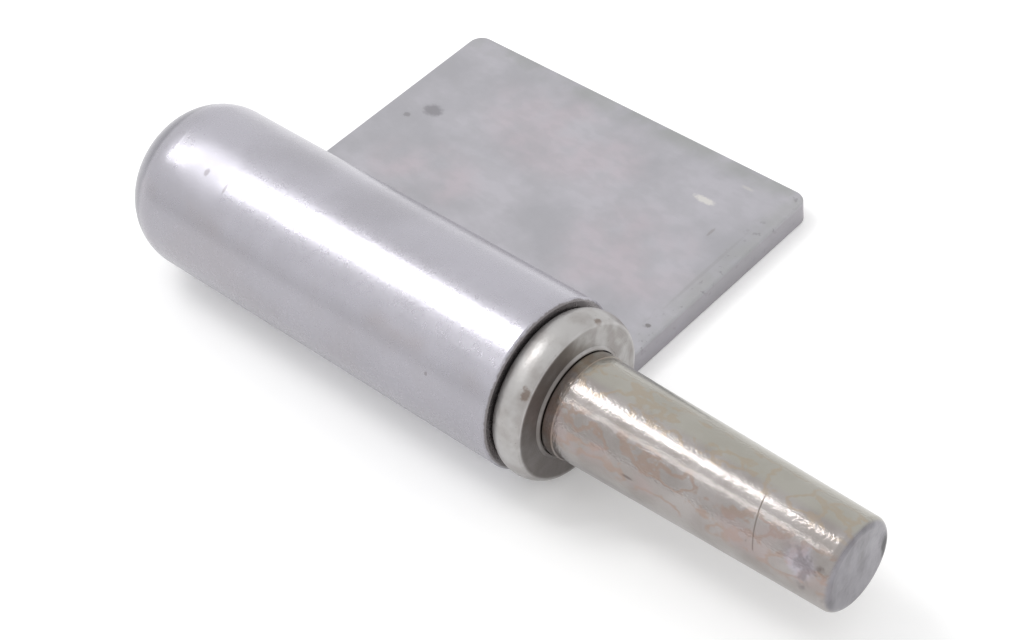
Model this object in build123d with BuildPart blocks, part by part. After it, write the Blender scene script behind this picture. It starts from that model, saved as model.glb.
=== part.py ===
from build123d import *
import math
import os

# One half of a weld-on barrel hinge: the half that carries the pin.
# Millimetres. The hinge axis is X, and the pin points towards +X.
# The origin is on the hinge axis, in the plane of the outer face of the washer,
# where the two halves of the hinge meet.
# +Y points towards the leaf, and +Z away from the face that the leaf is fixed by.

# ---- driving dimensions ----

# barrel: round bar, domed at its closed end and bored from its open end
barrel_radius = 10.0
barrel_length = 58.0
dome_length = 6.5        # how much of the barrel's length the dome takes
dome_end_radius = 4.8    # flat that is left on the end of the dome
dome_end_round = 0.6     # edge between that flat and the dome
mouth_chamfer = 0.35

# pin: shank pressed in the barrel, tapered length standing out of it
shank_radius = 6.0
shank_depth = 25.0       # how deep the shank sits in the barrel
shank_chamfer = 1.0
neck_depth = 0.4         # relief groove where the pin leaves the washer
neck_width = 1.0
neck_inset = 0.65        # how far the groove starts behind the parting plane
collar_end = 1.5         # where the parallel root ends and the taper starts
taper_step = 0.12        # step down in radius at the start of the taper
taper_drop = 0.8         # how much smaller in radius the tip is than the shank
pin_reach = 35.5         # how far the pin stands out past the parting plane
pin_tip_round = 0.9

# bore in the barrel
bore_spare = 1.0         # empty bore left past the end of the shank
drill_point_angle = 118.0

# washer: thick ring with a crowned rim, loose on the pin
washer_thickness = 3.9
washer_seat_gap = 0.1    # between the washer and the mouth of the barrel
washer_bore_gap = 0.1    # radial, between the washer and the shank
washer_crown_inset = 0.35      # middle of the rim, below the barrel's radius
washer_inner_rim_inset = 1.15  # the same for the rim's edge beside the barrel
washer_outer_rim_inset = 0.9   # and for its edge beside the other half
washer_rim_chamfer = 0.15
lip_width = 0.4          # raised edge round the hole in the washer
lip_height = 0.25
lip_top_width = 0.15     # flat on top of the lip

# leaf: flat plate whose underside is flush with the lowest line of the barrel
leaf_thickness = 3.0
leaf_reach = 45.0        # from the hinge axis to the far edge
leaf_setback = 0.3       # behind the mouth of the barrel
leaf_end_inset = 5.7     # in front of the barrel's closed end
leaf_corner_radius = 1.8
leaf_edge_round = 0.25
leaf_cope = 0.9          # how far the edge is hollowed to seat on the barrel

# welds between the leaf and the barrel
weld_end_margin = 2.0    # length of leaf left bare at each end of a weld
top_weld_leg = 3.2
top_weld_bulge = 0.35
under_weld_width = 3.4
under_weld_recess = 0.15  # how far the flush weld stays above the leaf's underside

# ---- places worked out from them ----

mouth_x = -(washer_thickness + washer_seat_gap)
barrel_end_x = mouth_x - barrel_length
leaf_near_x = mouth_x - leaf_setback
leaf_far_x = barrel_end_x + leaf_end_inset
leaf_length = leaf_near_x - leaf_far_x
leaf_under_z = -barrel_radius
leaf_top_z = leaf_under_z + leaf_thickness


def barrel_side_y(z):
    """Distance of the barrel's surface from the XZ plane, at height z."""
    return math.sqrt(barrel_radius**2 - z**2)


def barrel_under_z(y):
    """Height of the barrel's underside at distance y from the XZ plane."""
    return -math.sqrt(barrel_radius**2 - y**2)


leaf_touch_y = barrel_side_y(leaf_top_z)
leaf_root_y = leaf_touch_y - leaf_cope

os.makedirs("parts", exist_ok=True)


# ---- barrel ----
# Turned profile: mouth, straight side, then one arc tangent to the side that
# ends at the flat on the tip. The bore has a drill point at its closed end.
shank_end_x = mouth_x - shank_depth
bore_end_x = shank_end_x - bore_spare
drill_point_x = bore_end_x - shank_radius / math.tan(math.radians(drill_point_angle / 2))

with BuildPart() as barrel:
    with BuildSketch(Plane.XY) as barrel_profile:
        with BuildLine():
            mouth_edge = Line((mouth_x, 0), (mouth_x, barrel_radius))
            side = Line(mouth_edge @ 1, (barrel_end_x + dome_length, barrel_radius))
            dome = TangentArc(side @ 1, (barrel_end_x, dome_end_radius), tangent=side % 1)
            Polyline(dome @ 1, (barrel_end_x, 0), mouth_edge @ 0)
        make_face()
        rim_corner = barrel_profile.vertices().group_by(Axis.Y)[-1].sort_by(Axis.X)[-1]
        chamfer(rim_corner, mouth_chamfer)
        tip_corner = barrel_profile.vertices().group_by(Axis.X)[0].sort_by(Axis.Y)[-1]
        fillet(tip_corner, dome_end_round)
    revolve(axis=Axis.X)
    with BuildSketch(Plane.XY):
        with BuildLine():
            Polyline(
                (mouth_x, 0),
                (mouth_x, shank_radius),
                (bore_end_x, shank_radius),
                (drill_point_x, 0),
                close=True,
            )
        make_face()
    revolve(axis=Axis.X, mode=Mode.SUBTRACT)

barrel.part.label = "barrel"
export_step(barrel.part, "parts/barrel.step")


# ---- pin ----
# One turned piece: chamfered shank, relief groove, short parallel root, taper
# and a flat end with a rounded edge.
neck_start_x = -neck_inset
neck_end_x = neck_start_x + neck_width
neck_radius = shank_radius - neck_depth
pin_tip_radius = shank_radius - taper_drop

with BuildPart() as pin:
    with BuildSketch(Plane.XY) as pin_profile:
        with BuildLine():
            Polyline(
                (shank_end_x, 0),
                (shank_end_x, shank_radius),
                (neck_start_x, shank_radius),
                (neck_start_x, neck_radius),
                (neck_end_x, neck_radius),
                (neck_end_x, shank_radius),
                (collar_end, shank_radius),
                (collar_end + taper_step, shank_radius - taper_step),
                (pin_reach, pin_tip_radius),
                (pin_reach, 0),
                close=True,
            )
        make_face()
        shank_corner = pin_profile.vertices().group_by(Axis.X)[0].sort_by(Axis.Y)[-1]
        chamfer(shank_corner, shank_chamfer)
        tip_edge = pin_profile.vertices().group_by(Axis.X)[-1].sort_by(Axis.Y)[-1]
        fillet(tip_edge, pin_tip_round)
    revolve(axis=Axis.X)

pin.part.label = "pin"
export_step(pin.part, "parts/pin.step")


# ---- washer ----
# A ring with a crowned rim, a flat face on each side and a low lip round its
# hole. The lip stands on the outer face and its outer side slopes inwards, so
# nothing hangs over the face.
washer_bore_radius = shank_radius + washer_bore_gap
washer_back_x = -washer_thickness
washer_middle_x = -washer_thickness / 2
washer_inner_rim_radius = barrel_radius - washer_inner_rim_inset
washer_crown_radius = barrel_radius - washer_crown_inset
washer_outer_rim_radius = barrel_radius - washer_outer_rim_inset
lip_radius = washer_bore_radius + lip_width

with BuildPart() as washer:
    with BuildSketch(Plane.XY) as washer_profile:
        with BuildLine():
            back = Line((washer_back_x, washer_bore_radius), (washer_back_x, washer_inner_rim_radius))
            crown = ThreePointArc(
                back @ 1,
                (washer_middle_x, washer_crown_radius),
                (0, washer_outer_rim_radius),
            )
            Polyline(
                crown @ 1,
                (0, lip_radius),
                (lip_height, washer_bore_radius + lip_top_width),
                (lip_height, washer_bore_radius),
                back @ 0,
            )
        make_face()
        rim_corners = washer_profile.vertices().filter_by(
            lambda v: v.Y > (washer_crown_radius + lip_radius) / 2
        )
        chamfer(rim_corners, washer_rim_chamfer)
    revolve(axis=Axis.X)

washer.part.label = "washer"
export_step(washer.part, "parts/washer.step")


# ---- leaf ----
# Flat plate with two rounded outer corners. Its inner edge is hollowed to the
# barrel's radius, so it seats on the barrel along the whole edge.
with BuildPart() as leaf:
    with BuildSketch(Plane.XY.offset(leaf_under_z)) as leaf_outline:
        with Locations((leaf_far_x, leaf_root_y)):
            Rectangle(leaf_length, leaf_reach - leaf_root_y, align=(Align.MIN, Align.MIN))
        outer_corners = leaf_outline.vertices().group_by(Axis.Y)[-1]
        fillet(outer_corners, leaf_corner_radius)
    extrude(amount=leaf_thickness)
    top_and_bottom = leaf.faces().filter_by(Axis.Z)
    inner_edges = leaf.edges().group_by(Axis.Y)[0]
    rim_edges = top_and_bottom.edges() - inner_edges
    fillet(rim_edges, leaf_edge_round)
    with BuildSketch(Plane.YZ.offset(leaf_near_x)):
        Circle(barrel_radius)
    extrude(amount=-leaf_length, mode=Mode.SUBTRACT)

leaf.part.label = "leaf"
export_step(leaf.part, "parts/leaf.step")


# ---- welds ----
# Each weld is its cross-section, drawn across the hinge axis, run along the
# leaf. The side against the barrel is an arc of the barrel's own circle.
weld_near_x = leaf_near_x - weld_end_margin
weld_run = leaf_length - 2 * weld_end_margin


def barrel_arc(start_y, start_z, end_y, end_z):
    """Arc of the barrel's circle between two points that lie on it."""
    middle = Vector(start_y + end_y, start_z + end_z).normalized() * barrel_radius
    return ThreePointArc((start_y, start_z), (middle.X, middle.Y), (end_y, end_z))


# Fillet weld in the corner above the leaf.
weld_toe_z = leaf_top_z + top_weld_leg
weld_toe_y = leaf_touch_y + top_weld_leg

with BuildPart() as top_weld:
    with BuildSketch(Plane.YZ.offset(weld_near_x)):
        with BuildLine():
            seat = barrel_arc(leaf_touch_y, leaf_top_z, barrel_side_y(weld_toe_z), weld_toe_z)
            chord_middle = (seat @ 1 + Vector(weld_toe_y, leaf_top_z)) / 2
            outward = Vector(1, 1).normalized() * top_weld_bulge
            bead = ThreePointArc(seat @ 1, chord_middle + outward, (weld_toe_y, leaf_top_z))
            Line(bead @ 1, seat @ 0)
        make_face()
    extrude(amount=-weld_run)

top_weld.part.label = "top_weld"
export_step(top_weld.part, "parts/top_weld.step")

# Flush weld that fills the hollow under the barrel, beside the leaf's edge.
under_toe_y = leaf_root_y - under_weld_width
under_weld_z = leaf_under_z + under_weld_recess

with BuildPart() as under_weld:
    with BuildSketch(Plane.YZ.offset(weld_near_x)):
        with BuildLine():
            roof = barrel_arc(
                under_toe_y,
                barrel_under_z(under_toe_y),
                leaf_root_y,
                barrel_under_z(leaf_root_y),
            )
            Polyline(roof @ 1, (leaf_root_y, under_weld_z), roof @ 0)
        make_face()
    extrude(amount=-weld_run)

under_weld.part.label = "under_weld"
export_step(under_weld.part, "parts/under_weld.step")
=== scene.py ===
import math
import bmesh
import bpy
from mathutils import Matrix, Vector


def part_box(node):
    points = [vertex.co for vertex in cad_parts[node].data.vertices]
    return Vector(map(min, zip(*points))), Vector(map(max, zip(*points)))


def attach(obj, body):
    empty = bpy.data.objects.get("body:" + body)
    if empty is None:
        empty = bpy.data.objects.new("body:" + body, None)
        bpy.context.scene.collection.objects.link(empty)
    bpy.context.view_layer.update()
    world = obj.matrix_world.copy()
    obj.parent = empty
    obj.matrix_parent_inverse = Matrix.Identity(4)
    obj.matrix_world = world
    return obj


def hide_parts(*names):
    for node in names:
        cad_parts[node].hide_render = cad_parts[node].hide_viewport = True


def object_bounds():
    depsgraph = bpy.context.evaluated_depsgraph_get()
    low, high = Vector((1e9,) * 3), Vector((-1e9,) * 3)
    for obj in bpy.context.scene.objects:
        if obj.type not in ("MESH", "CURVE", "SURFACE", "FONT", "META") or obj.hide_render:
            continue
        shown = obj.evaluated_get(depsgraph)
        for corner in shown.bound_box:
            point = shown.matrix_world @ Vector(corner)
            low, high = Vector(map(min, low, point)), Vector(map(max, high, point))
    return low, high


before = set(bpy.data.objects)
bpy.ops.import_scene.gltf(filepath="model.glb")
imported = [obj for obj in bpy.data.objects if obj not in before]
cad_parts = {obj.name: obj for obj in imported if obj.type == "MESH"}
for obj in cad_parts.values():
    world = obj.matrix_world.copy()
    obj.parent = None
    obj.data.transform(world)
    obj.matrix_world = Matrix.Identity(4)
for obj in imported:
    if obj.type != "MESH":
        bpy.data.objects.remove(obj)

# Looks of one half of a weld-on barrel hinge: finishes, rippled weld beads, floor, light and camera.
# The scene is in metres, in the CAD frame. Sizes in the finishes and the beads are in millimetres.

cad_low, cad_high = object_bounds()
cad_centre = (cad_low + cad_high) / 2
MM = 0.001

# ---- camera ----
CAMERA_AZIMUTH = 47.47      # degrees round the object, 0 looks along +Y
CAMERA_ELEVATION = 44.95
CAMERA_ROLL = -7.61
CAMERA_DISTANCE = 259.12 * MM
CAMERA_AIM = Vector((-3.37, -9.90, -4.21)) * MM    # from the centre of the CAD box
CAMERA_LENS = 83.13
CAMERA_SENSOR = 36
CAMERA_NEAR = 0.01          # nearest and farthest distance that it sees, in metres
CAMERA_FAR = 10

# ---- light ----
WORLD_DIM_SIDE = 0.76       # from -Y
WORLD_BRIGHT_SIDE = 1.08    # from +Y, the leaf's side
FLOOR_SIZE = 4.0
FLOOR_GAP = 0.02 * MM       # between the floor and the lowest point of the hinge
FLOOR_LIFT = 0.12           # brings the lit floor up to plain white in the view and in reflections
LAMP_HEIGHT = 0.300

# Strip lamps: name, start and end as (x, y), width, and radiance, where 1 is plain white.
LAMPS = (
    ("barrel_strip_far", (-0.332, -0.152), (-0.240, -0.085), 0.020, 9.0),
    ("barrel_strip_near", (-0.240, -0.085), (-0.180, 0.018), 0.070, 6.0),
    ("pin_strip_low", (-0.200, -0.275), (-0.095, -0.200), 0.007, 11.0),
    ("pin_strip_high", (-0.155, -0.085), (-0.080, -0.022), 0.008, 20.0),
)

# ---- weld beads, in millimetres ----
RIPPLE_PITCH = 1.5
RIPPLE_DEPTH = 0.10
RIPPLE_LEAN = 0.9           # how far the middle of a ripple lies towards -X from its ends
STEPS_PER_RIPPLE = 14
FACETS_ACROSS = 10
BEAD_END_LENGTH = 1.8       # length over which a bead grows to its full size
BEAD_END_START = 0.02       # square of the share of that size at its very end
TOP_BEAD_CROWN = 0.3
UNDER_BEAD_CROWN = 0.0
SHARP_ANGLE = 60            # edges of a bead sharper than this are not smoothed, in degrees

# ---- sockets of the colour Mix node ----
MIX_FIRST_COLOUR = 6
MIX_SECOND_COLOUR = 7
MIX_RESULT_COLOUR = 2

# ---- places on the hinge, in millimetres, from the CAD nodes ----
barrel_low, barrel_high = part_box("barrel")
pin_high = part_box("pin")[1]
leaf_low, leaf_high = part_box("leaf")
BARREL_RADIUS = barrel_high.z / MM
BARREL_END = barrel_low.x / MM
BARREL_MOUTH = barrel_high.x / MM
PIN_RADIUS = pin_high.z / MM
PIN_END = pin_high.x / MM


def paint(red, green, blue):
    """A colour given in 0 to 255 display values, as the linear colour that a shader takes."""
    def linear(value):
        value /= 255
        return value / 12.92 if value <= 0.04045 else ((value + 0.055) / 1.055) ** 2.4
    return (linear(red), linear(green), linear(blue), 1)


def on_round(x, angle, radius):
    """Point on a round surface about the hinge axis. The angle goes from +Z towards +Y."""
    turn = math.radians(angle)
    return (x, radius * math.sin(turn), radius * math.cos(turn))


class Finish:
    """A node material, with the surface's own coordinates in millimetres."""

    def __init__(self, name, metallic, roughness):
        self.material = bpy.data.materials.new(name)
        self.material.use_nodes = True
        self.tree = self.material.node_tree
        self.shader = self.tree.nodes["Principled BSDF"]
        self.shader.inputs["Metallic"].default_value = metallic
        self.shader.inputs["Roughness"].default_value = roughness
        self.mm = self.vector("SCALE", self.node("ShaderNodeTexCoord").outputs["Object"])
        self.mm.node.inputs["Scale"].default_value = 1 / MM
        apart = self.node("ShaderNodeSeparateXYZ")
        self.feed(apart.inputs[0], self.mm)
        self.x, self.y, self.z = apart.outputs

    def node(self, kind, **settings):
        made = self.tree.nodes.new(kind)
        for name, value in settings.items():
            setattr(made, name, value)
        return made

    def feed(self, socket, value):
        """Gives a socket a plain value, or links it to another socket."""
        if isinstance(value, bpy.types.NodeSocket):
            self.tree.links.new(value, socket)
        else:
            socket.default_value = value

    def vector(self, operation, first, second=None):
        made = self.node("ShaderNodeVectorMath", operation=operation)
        self.feed(made.inputs[0], first)
        if second is not None:
            self.feed(made.inputs[1], second)
        return made.outputs["Value" if operation == "LENGTH" else "Vector"]

    def math(self, operation, first, second=0.0):
        made = self.node("ShaderNodeMath", operation=operation)
        self.feed(made.inputs[0], first)
        self.feed(made.inputs[1], second)
        return made.outputs[0]

    def noise(self, size, detail=4.0, stretch=(1, 1, 1), shift=0.0):
        """Cloudy noise from 0 to 1. The size is that of one cloud, in millimetres."""
        made = self.node("ShaderNodeTexNoise")
        made.inputs["Scale"].default_value = 1.0
        made.inputs["Detail"].default_value = detail
        scaled = self.vector("MULTIPLY", self.mm, [1 / (size * s) for s in stretch])
        self.feed(made.inputs["Vector"], self.vector("ADD", scaled, (shift, shift, shift)))
        return made.outputs["Fac"]

    def ramp(self, value, start, end):
        """0 at start and 1 at end, and smooth between them. The end may be the lower one."""
        made = self.node("ShaderNodeMapRange", interpolation_type="SMOOTHSTEP")
        low, high = min(start, end), max(start, end)
        self.feed(made.inputs["Value"], value)
        made.inputs["From Min"].default_value = low
        made.inputs["From Max"].default_value = high
        made.inputs["To Min"].default_value = 0 if start < end else 1
        made.inputs["To Max"].default_value = 1 if start < end else 0
        return made.outputs["Result"]

    def band(self, value, start, end, soft):
        """1 from start to end, fading to 0 over the soft margin outside them."""
        rise = self.ramp(value, start - soft, start)
        fall = self.ramp(value, end + soft, end)
        return self.math("MULTIPLY", rise, fall)

    def both(self, *masks):
        result = masks[0]
        for mask in masks[1:]:
            result = self.math("MULTIPLY", result, mask)
        return result

    def spot(self, centre, radii, ragged=0.0):
        """1 inside an ellipsoid about the centre and 0 outside, with a ragged edge if asked for."""
        off = self.vector("SUBTRACT", self.mm, centre)
        reach = self.vector("LENGTH", self.vector("MULTIPLY", off, [1 / r for r in radii]))
        if ragged:
            rough = self.math("MULTIPLY", self.noise(min(radii) * 0.6), ragged)
            reach = self.math("ADD", reach, rough)
        return self.ramp(reach, 1.25 + ragged / 2, 0.6 + ragged / 2)

    def angle(self):
        """Degrees round the hinge axis, from +Z towards +Y."""
        return self.math("MULTIPLY", self.math("ARCTAN2", self.y, self.z), math.degrees(1))

    def blend(self, base, over, mask, strength=1.0):
        """The base colour with another laid over it, as far as the mask says."""
        made = self.node("ShaderNodeMix", data_type="RGBA")
        self.feed(made.inputs[0], self.math("MULTIPLY", mask, strength))
        self.feed(made.inputs[MIX_FIRST_COLOUR], base)
        self.feed(made.inputs[MIX_SECOND_COLOUR], over)
        return made.outputs[MIX_RESULT_COLOUR]

    def colour(self, value):
        self.feed(self.shader.inputs["Base Color"], value)

    def roughness(self, level, spread, mask):
        """Roughness of level, plus spread where the mask is 1."""
        wider = self.math("MULTIPLY", mask, spread)
        self.feed(self.shader.inputs["Roughness"], self.math("ADD", wider, level))

    def relief(self, *layers):
        """Bump from several height maps, each with its depth in millimetres. A negative one cuts in."""
        normal = None
        for height, depth in layers:
            made = self.node("ShaderNodeBump")
            made.inputs["Distance"].default_value = depth * MM
            self.feed(made.inputs["Height"], height)
            if normal:
                self.feed(made.inputs["Normal"], normal)
            normal = made.outputs["Normal"]
        self.feed(self.shader.inputs["Normal"], normal)


# ---- finishes ----

def barrel_finish():
    """Satin zinc on the barrel: pale violet grey, finely grained, with a few small marks."""
    f = Finish("barrel_satin_zinc", 0.9, 0.3)
    angle = f.angle()
    tone = f.blend(paint(183, 181, 189), paint(173, 171, 178), f.ramp(f.noise(11), 0.38, 0.66))
    warm_side = f.both(f.band(angle, -95, -55, 14), f.ramp(f.noise(8, shift=3), 0.42, 0.66))
    tone = f.blend(tone, paint(168, 159, 158), warm_side, 0.4)
    # painted shade: the barrel's lower side, towards -Y and the floor, made darker
    lower_side_painted_shade = f.band(angle, -130, -64, 16)
    tone = f.blend(tone, paint(157, 155, 161), lower_side_painted_shade, 0.7)
    flecks = f.ramp(f.noise(0.35, 2), 0.62, 0.76)
    tone = f.blend(tone, paint(206, 204, 218), flecks, 0.15)
    # painted shade: a dark ragged crescent at the dome end, where the end is seen at a grazing angle
    dome_shade_fades_out = BARREL_END + 5.2
    dome_shade_full = BARREL_END + 4.4
    dome_end_painted_shade = f.ramp(f.math("ADD", f.x, f.noise(3.5, 3)), dome_shade_fades_out, dome_shade_full)
    tone = f.blend(tone, paint(132, 131, 138), dome_end_painted_shade, 0.75)
    # small marks: x, angle, reach along and around the barrel
    marks = (
        (-49.6, -27, 0.35, 0.5),
        (-46.2, -30, 0.2, 0.75),
        (-12.5, -66, 0.2, 0.25),
    )
    for x, turn, along, around in marks:
        mark = f.spot(on_round(x, turn, BARREL_RADIUS), (along, around, around), 0.9)
        tone = f.blend(tone, paint(120, 114, 116), mark, 0.55)
    # painted shade: a dark ragged band on the barrel's mouth, the end shaded in the gap against the
    # washer
    ragged_x = f.math("ADD", f.x, f.math("MULTIPLY", f.noise(0.7, 4), 0.3))
    rim = f.ramp(ragged_x, BARREL_MOUTH - 0.1, BARREL_MOUTH + 0.05)
    tone = f.blend(tone, paint(104, 98, 95), rim, 0.75)
    f.colour(tone)
    dull_patch = f.both(f.band(f.x, -51.0, -48.5, 3.0), f.band(angle, -38, -16, 16))
    rough = f.math("ADD", f.math("MULTIPLY", dull_patch, 1.3), f.noise(0.8, 5))
    f.roughness(0.22, 0.12, rough)
    f.relief((f.noise(0.36, 3), 0.010), (f.noise(1.5, 3, (1.6, 1, 1)), 0.012))
    return f.material


def pin_finish():
    """Bare turned steel on the pin: warm grey, veined brown and pink, with a coarse grain."""
    f = Finish("pin_bare_steel", 0.9, 0.25)
    angle = f.angle()
    tone = f.blend(paint(164, 159, 157), paint(150, 144, 141), f.ramp(f.noise(5), 0.38, 0.64))
    green_side = f.band(angle, 2, 60, 14)
    tone = f.blend(tone, paint(170, 169, 158), green_side, 0.6)
    veins = f.band(f.noise(2.2, 5, (1.5, 1, 1), 5), 0.485, 0.515, 0.05)
    tone = f.blend(tone, paint(156, 132, 118), f.both(f.band(angle, -80, -44, 14), veins), 0.55)
    tone = f.blend(tone, paint(166, 150, 130), f.both(f.band(angle, -14, 20, 12), veins), 0.5)
    pink_cloud = f.both(f.band(angle, -78, -48, 12), f.ramp(f.noise(6, 3, shift=2), 0.45, 0.62))
    tone = f.blend(tone, paint(168, 150, 148), pink_cloud, 0.4)
    pale = f.spot(on_round(32.0, -62, PIN_RADIUS), (1.8, 2.4, 1.8), 0.9)
    tone = f.blend(tone, paint(182, 177, 190), pale, 0.5)
    grime = f.ramp(f.noise(1.6, 4, shift=8), 0.5, 0.62)
    dirt = f.both(f.ramp(f.x, 28, 33), f.band(angle, -90, -50, 10), grime)
    tone = f.blend(tone, paint(120, 112, 114), dirt, 0.6)
    taper_radius = 5.6      # about halfway along the taper
    # dark spots: x, angle, reach along and around the pin
    spots = (
        (11.3, -77, 0.8, 0.18),
        (34.2, -55, 0.6, 0.5),
        (25.9, -70, 0.15, 0.25),
    )
    for x, turn, along, around in spots:
        spot = f.spot(on_round(x, turn, taper_radius), (along, around, around), 0.7)
        tone = f.blend(tone, paint(98, 86, 82), spot, 0.65)
    # painted shade: a patchy brown darkening on the pin's root, next to the washer
    root = f.both(f.band(f.x, 0.4, 1.5, 0.3), f.ramp(f.noise(1.2, 4), 0.35, 0.6))
    tone = f.blend(tone, paint(142, 122, 106), root, 0.45)
    # painted shade: dark lines in the creases at the edge of the groove and at the step before the
    # taper
    for x, strength in ((0.36, 0.7), (1.55, 0.45)):
        tone = f.blend(tone, paint(96, 84, 76), f.band(f.x, x - 0.03, x + 0.03, 0.1), strength)
    # painted shade: the groove at the pin's root darkened, where it lies in shadow under the washer's
    # lip
    groove = f.ramp(f.x, 0.32, 0.1)
    tone = f.blend(tone, paint(96, 88, 82), groove, 0.7)
    scratch_x = f.math("ADD", f.x, f.math("MULTIPLY", angle, 0.0195))
    scratch = f.both(f.band(scratch_x, 25.3, 25.36, 0.1), f.band(angle, -75, -18, 4))
    tone = f.blend(tone, paint(104, 92, 84), scratch, 0.6)
    end = f.ramp(f.x, PIN_END - 0.5, PIN_END - 0.1)
    scuffs = f.ramp(f.noise(2.6, 6, (1, 1, 1.8), 4), 0.34, 0.68)
    tone = f.blend(tone, f.blend(paint(148, 146, 152), paint(114, 112, 118), scuffs), end, 0.9)
    # a black patch on the far rim of the pin's end
    end_rim_dark_patch = f.spot(on_round(PIN_END - 0.2, 101, 4.5), (0.9, 0.9, 1.9), 0.5)
    tone = f.blend(tone, paint(56, 55, 57), end_rim_dark_patch, 0.9)
    f.colour(tone)
    f.roughness(0.13, 0.16, f.noise(0.6, 5))
    f.relief((f.noise(0.34, 2), 0.026), (f.noise(1.2, 3, (2.2, 1, 1)), 0.016))
    return f.material


def washer_finish():
    """Bare turned steel on the washer, lighter than the pin, with brown nicks on its rim."""
    f = Finish("washer_bare_steel", 0.85, 0.38)
    square = f.math("ADD", f.math("MULTIPLY", f.y, f.y), f.math("MULTIPLY", f.z, f.z))
    radius = f.math("SQRT", square)
    tone = f.blend(paint(180, 178, 177), paint(162, 158, 156), f.ramp(f.noise(3.5, 5), 0.4, 0.62))
    face = f.ramp(f.x, -0.25, -0.02)
    # darker patches on the face: partly a mottle, partly painted shade standing in for the shaded floor
    # the face reflects
    face_mottle_and_shade = f.both(face, f.ramp(f.noise(1.8, 4), 0.36, 0.6))
    tone = f.blend(tone, paint(142, 137, 134), face_mottle_and_shade, 0.5)
    # painted shade: the -Y half of the face darker, where it reflects the shadowed floor under the pin
    face_painted_shade = f.both(face, f.band(f.angle(), -180, -15, 25), f.ramp(radius, 9.0, 8.6))
    tone = f.blend(tone, paint(104, 98, 95), face_painted_shade, 0.75)
    pits = f.ramp(f.noise(0.45, 3, shift=6), 0.66, 0.74)
    tone = f.blend(tone, paint(116, 108, 102), pits, 0.35)
    rim_radius = 9.2
    # brown nicks on the rim: x, angle, size
    for x, turn, size in ((-0.5, -46, 0.5), (-0.9, -42, 0.3), (-0.25, 28, 0.4)):
        nick = f.spot(on_round(x, turn, rim_radius), (size, size * 1.4, size * 1.4), 0.9)
        tone = f.blend(tone, paint(104, 84, 70), nick, 0.65)
    # painted highlight: a lighter ring at the outer edge of the face, where its chamfer catches the
    # light
    face_edge_painted_highlight = f.both(face, f.ramp(radius, 8.75, 8.95))
    tone = f.blend(tone, paint(196, 194, 194), face_edge_painted_highlight, 0.4)
    f.colour(tone)
    f.roughness(0.3, 0.2, f.noise(0.8, 5))
    turning_lines = 26.0    # radians of their wave per millimetre of radius
    turned = f.math("SINE", f.math("MULTIPLY", radius, turning_lines))
    around = f.noise(0.8, 4, (0.35, 2.5, 2.5), 3)
    f.relief((f.noise(0.5, 3), 0.026), (around, 0.02), (f.both(turned, face), 0.004))
    return f.material


def leaf_finish():
    """Matt mottled zinc on the leaf: pink clouds, darker rims, a smudge, a nick and scratches."""
    f = Finish("leaf_matt_zinc", 0.7, 0.5)
    top = leaf_high.z / MM
    left = leaf_low.x / MM
    right = leaf_high.x / MM
    far = leaf_high.y / MM
    tone = f.blend(paint(182, 180, 186), paint(168, 167, 172), f.ramp(f.noise(9, 5), 0.36, 0.66))
    for x, y, long, wide in ((-34, 36, 13, 7), (-15, 25, 9, 8), (-44, 22, 8, 5)):
        uneven = f.ramp(f.noise(5, 4, shift=2), 0.3, 0.7)
        cloud = f.both(f.spot((x, y, top), (long, wide, 9), 0.5), uneven)
        tone = f.blend(tone, paint(188, 178, 184), cloud, 0.6)
    mottle = f.ramp(f.noise(1.6, 5, (1.8, 1, 1)), 0.42, 0.62)
    tone = f.blend(tone, paint(166, 165, 169), mottle, 0.3)
    far_rim = f.ramp(f.y, far - 3.5, far - 0.3)
    right_rim = f.ramp(f.x, right - 3.5, right - 0.3)
    patchy = f.ramp(f.noise(3.5, 5, shift=7), 0.32, 0.62)
    tone = f.blend(tone, paint(152, 155, 150), f.both(far_rim, patchy), 0.5)
    tone = f.blend(tone, paint(158, 159, 156), f.both(right_rim, patchy), 0.45)
    chips = f.both(right_rim, f.ramp(f.noise(0.9, 4, shift=4), 0.6, 0.68))
    tone = f.blend(tone, paint(128, 126, 128), chips, 0.5)
    # marks on the top: place and reach as (x, y), colour, strength
    marks = (
        ((-50.8, 30.5), (1.3, 1.0), paint(122, 120, 124), 0.6),
        ((-52.9, 28.1), (0.5, 0.4), paint(130, 128, 130), 0.6),
        ((-13.8, 37.5), (1.5, 0.5), paint(216, 213, 208), 0.75),
        ((-11.0, 42.0), (0.9, 0.25), paint(198, 195, 192), 0.5),
        ((-9.8, 33.7), (0.2, 0.8), paint(142, 138, 136), 0.5),
        ((-6.3, 28.5), (0.25, 7.5), paint(150, 149, 150), 0.3),
        ((-6.0, 17.9), (0.4, 0.3), paint(112, 108, 106), 0.7),
    )
    for (x, y), (long, wide), shade, strength in marks:
        tone = f.blend(tone, shade, f.spot((x, y, top), (long, wide, 1.2), 1.0), strength)
    # painted shade: the plate's side faces, below its top, made darker
    side = f.ramp(f.z, top - 0.12, top - 0.35)
    tone = f.blend(tone, paint(164, 160, 166), side, 0.6)
    f.colour(tone)
    f.roughness(0.44, 0.18, f.noise(2.5, 5))
    scratches = f.ramp(f.noise(0.6, 2, (16, 1, 1), 11), 0.7, 0.78)
    f.relief((f.noise(0.55, 4), 0.02), (scratches, -0.01), (f.noise(5, 3), 0.05))
    return f.material


def weld_finish():
    """Brushed weld metal: darker and browner than the plates, with patches of heat tint."""
    f = Finish("weld_brushed", 0.9, 0.42)
    tone = f.blend(paint(150, 146, 146), paint(122, 116, 112), f.ramp(f.noise(2.2, 5), 0.38, 0.64))
    tint = f.ramp(f.noise(3.6, 3, shift=6), 0.52, 0.68)
    tone = f.blend(tone, paint(128, 108, 86), tint, 0.5)
    f.colour(tone)
    f.roughness(0.38, 0.2, f.noise(0.9, 5))
    f.relief((f.noise(0.4, 4), 0.03),)
    return f.material


# ---- weld beads ----

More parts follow.
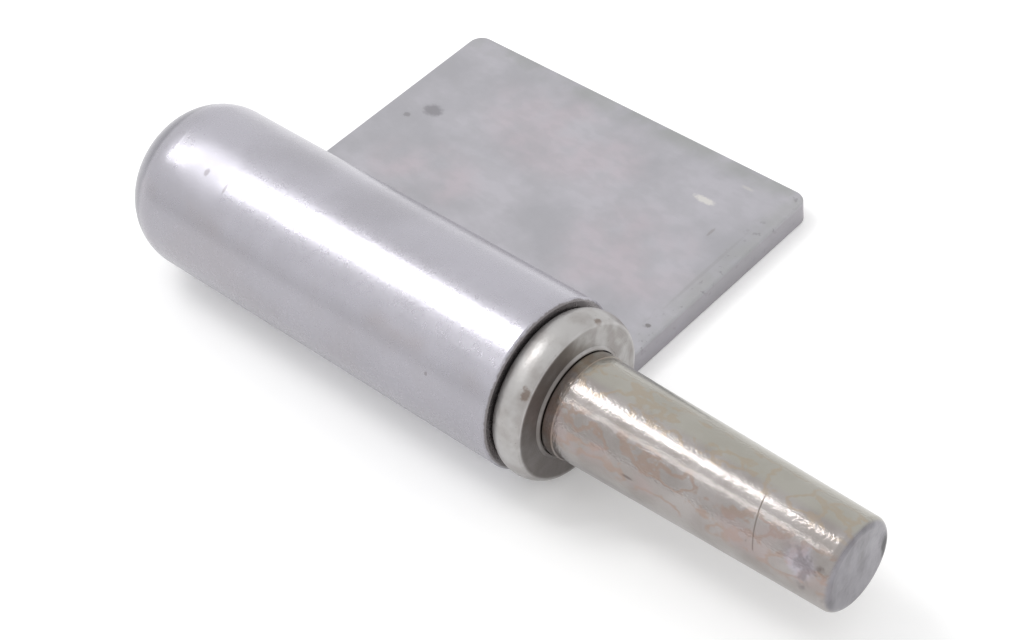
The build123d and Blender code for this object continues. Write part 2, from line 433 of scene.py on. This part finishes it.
def weld_bead(name, node, low_side, high_side, corner, crown):
    """A rippled bead along X, as long as its CAD node.

    low_side and high_side give the two toes of the bead as (y, z) in millimetres, and crown is
    how far the middle of its face stands out from the line between them. The back of the bead
    is one ridge at the corner, also a (y, z).
    """
    low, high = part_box(node)
    start, end = low.x / MM, high.x / MM
    steps = int((end - start) / RIPPLE_PITCH * STEPS_PER_RIPPLE)
    toe = Vector(low_side)
    other = Vector(high_side)
    root = Vector(corner)
    outward = ((toe + other) / 2 - root).normalized()
    bead = bmesh.new()
    rings = []
    for i in range(steps + 1):
        x = start + (end - start) * i / steps
        from_end = min(x - start, end - x)
        fullness = math.sqrt(min(1.0, from_end / BEAD_END_LENGTH + BEAD_END_START))
        ring = []
        for j in range(FACETS_ACROSS + 1):
            u = j / FACETS_ACROSS
            arch = 4 * u * (1 - u)
            phase = (x + RIPPLE_LEAN * arch) / RIPPLE_PITCH
            ripple = RIPPLE_DEPTH * abs(math.sin(math.pi * phase)) * arch ** 0.5
            height = crown * arch - RIPPLE_DEPTH * arch ** 0.5 + ripple
            face = toe.lerp(other, u) + outward * height
            point = root.lerp(face, fullness)
            ring.append(bead.verts.new((x * MM, point.x * MM, point.y * MM)))
        ring.append(bead.verts.new((x * MM, root.x * MM, root.y * MM)))
        rings.append(ring)
    for near, far in zip(rings, rings[1:]):
        for j in range(len(near)):
            k = (j + 1) % len(near)
            bead.faces.new((near[j], near[k], far[k], far[j]))
    bead.faces.new(rings[0][::-1])
    bead.faces.new(rings[-1])
    bmesh.ops.recalc_face_normals(bead, faces=bead.faces)
    mesh = bpy.data.meshes.new(name)
    bead.to_mesh(mesh)
    bead.free()
    mesh.shade_smooth()
    mesh.set_sharp_from_angle(angle=math.radians(SHARP_ANGLE))
    piece = bpy.data.objects.new(name, mesh)
    bpy.context.scene.collection.objects.link(piece)
    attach(piece, "hinge_half")
    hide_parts(node)
    mesh.materials.append(weld_metal)


# ---- the pieces ----
finishes = {
    "barrel": barrel_finish(),
    "pin": pin_finish(),
    "washer": washer_finish(),
    "leaf": leaf_finish(),
}
for name, finish in finishes.items():
    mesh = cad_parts[name].data
    mesh.materials.clear()
    mesh.materials.append(finish)

weld_metal = weld_finish()
top_low, top_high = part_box("top_weld")
under_low, under_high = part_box("under_weld")
weld_bead(
    "top_bead",
    "top_weld",
    (top_high.y / MM, top_low.z / MM),
    (math.sqrt(BARREL_RADIUS**2 - (top_high.z / MM) ** 2), top_high.z / MM),
    (top_low.y / MM, top_low.z / MM),
    TOP_BEAD_CROWN,
)
weld_bead(
    "under_bead",
    "under_weld",
    (under_low.y / MM, -math.sqrt(BARREL_RADIUS**2 - (under_low.y / MM) ** 2)),
    (under_high.y / MM, under_low.z / MM),
    (under_high.y / MM, under_high.z / MM),
    UNDER_BEAD_CROWN,
)


# ---- floor and world ----

def seen_directly(tree):
    """1 for rays from the camera and for reflected and refracted ones, and 0 for the rest."""
    ray = tree.nodes.new("ShaderNodeLightPath")
    seen = ray.outputs["Is Camera Ray"]
    for kind in ("Is Glossy Ray", "Is Transmission Ray"):
        either = tree.nodes.new("ShaderNodeMath")
        either.operation = "MAXIMUM"
        tree.links.new(seen, either.inputs[0])
        tree.links.new(ray.outputs[kind], either.inputs[1])
        seen = either.outputs[0]
    return seen


def pale_floor():
    """A plain white floor under the hinge, wide enough to fill the view."""
    half = FLOOR_SIZE / 2
    mesh = bpy.data.meshes.new("floor")
    corners = [(-half, -half, 0), (half, -half, 0), (half, half, 0), (-half, half, 0)]
    mesh.from_pydata(corners, [], [(0, 1, 2, 3)])
    material = bpy.data.materials.new("floor_white")
    material.use_nodes = True
    shader = material.node_tree.nodes["Principled BSDF"]
    shader.inputs["Base Color"].default_value = (0.96, 0.96, 0.96, 1)
    shader.inputs["Roughness"].default_value = 0.9
    shader.inputs["Specular IOR Level"].default_value = 0.1
    shader.inputs["Emission Color"].default_value = (1, 1, 1, 1)
    lift = material.node_tree.nodes.new("ShaderNodeMath")
    lift.operation = "MULTIPLY"
    material.node_tree.links.new(seen_directly(material.node_tree), lift.inputs[0])
    lift.inputs[1].default_value = FLOOR_LIFT
    material.node_tree.links.new(lift.outputs[0], shader.inputs["Emission Strength"])
    mesh.materials.append(material)
    floor = bpy.data.objects.new("floor", mesh)
    floor.location.z = cad_low.z - FLOOR_GAP
    bpy.context.scene.collection.objects.link(floor)


def pale_world():
    """White light from all round, a little brighter from +Y.

    Rays that see it directly, as in the view and in reflections, get plain white.
    """
    world = bpy.data.worlds.new("studio")
    world.use_nodes = True
    bpy.context.scene.world = world
    nodes = world.node_tree.nodes
    links = world.node_tree.links
    background = nodes["Background"]
    background.inputs["Color"].default_value = (1, 1, 1, 1)
    apart = nodes.new("ShaderNodeSeparateXYZ")
    links.new(nodes.new("ShaderNodeTexCoord").outputs["Generated"], apart.inputs[0])
    across = nodes.new("ShaderNodeMapRange")
    across.inputs["From Min"].default_value = -1
    across.inputs["To Min"].default_value = WORLD_DIM_SIDE
    across.inputs["To Max"].default_value = WORLD_BRIGHT_SIDE
    links.new(apart.outputs["Y"], across.inputs["Value"])
    level = nodes.new("ShaderNodeMapRange")
    links.new(across.outputs["Result"], level.inputs["To Min"])
    level.inputs["To Max"].default_value = 1.0
    links.new(seen_directly(world.node_tree), level.inputs["Value"])
    links.new(level.outputs["Result"], background.inputs["Strength"])


def softbox(name, start, end, width, radiance):
    """A flat lamp from start to end, facing the hinge. A radiance of 1 is plain white."""
    start = Vector(start)
    end = Vector(end)
    middle = (start + end) / 2
    length = (end - start).length
    data = bpy.data.lights.new(name, "AREA")
    data.shape = "RECTANGLE"
    data.size = length
    data.size_y = width
    data.energy = 4 * length * width * radiance
    lamp = bpy.data.objects.new(name, data)
    back = (middle - cad_centre).normalized()
    along = (end - start).normalized()
    along = (along - back * along.dot(back)).normalized()
    up = back.cross(along)
    lamp.matrix_world = Matrix.Translation(middle) @ Matrix((along, up, back)).transposed().to_4x4()
    bpy.context.scene.collection.objects.link(lamp)


def camera():
    """The camera of the photo, as far as a fit to its outlines gives it."""
    azimuth = math.radians(CAMERA_AZIMUTH)
    elevation = math.radians(CAMERA_ELEVATION)
    back = Vector((
        math.sin(azimuth) * math.cos(elevation),
        -math.cos(azimuth) * math.cos(elevation),
        math.sin(elevation),
    ))
    data = bpy.data.cameras.new("camera")
    data.lens = CAMERA_LENS
    data.sensor_width = CAMERA_SENSOR
    data.clip_start = CAMERA_NEAR
    data.clip_end = CAMERA_FAR
    view = bpy.data.objects.new("camera", data)
    roll = Matrix.Rotation(math.radians(CAMERA_ROLL), 3, "Z")
    turn = (-back).to_track_quat("-Z", "Y").to_matrix() @ roll
    place = Matrix.Translation(cad_centre + CAMERA_AIM + back * CAMERA_DISTANCE)
    view.matrix_world = place @ turn.to_4x4()
    bpy.context.scene.collection.objects.link(view)
    bpy.context.scene.camera = view


pale_floor()
pale_world()
for name, start, end, width, radiance in LAMPS:
    softbox(name, (*start, LAMP_HEIGHT), (*end, LAMP_HEIGHT), width, radiance)
camera()
bpy.context.scene.view_settings.view_transform = "Standard"
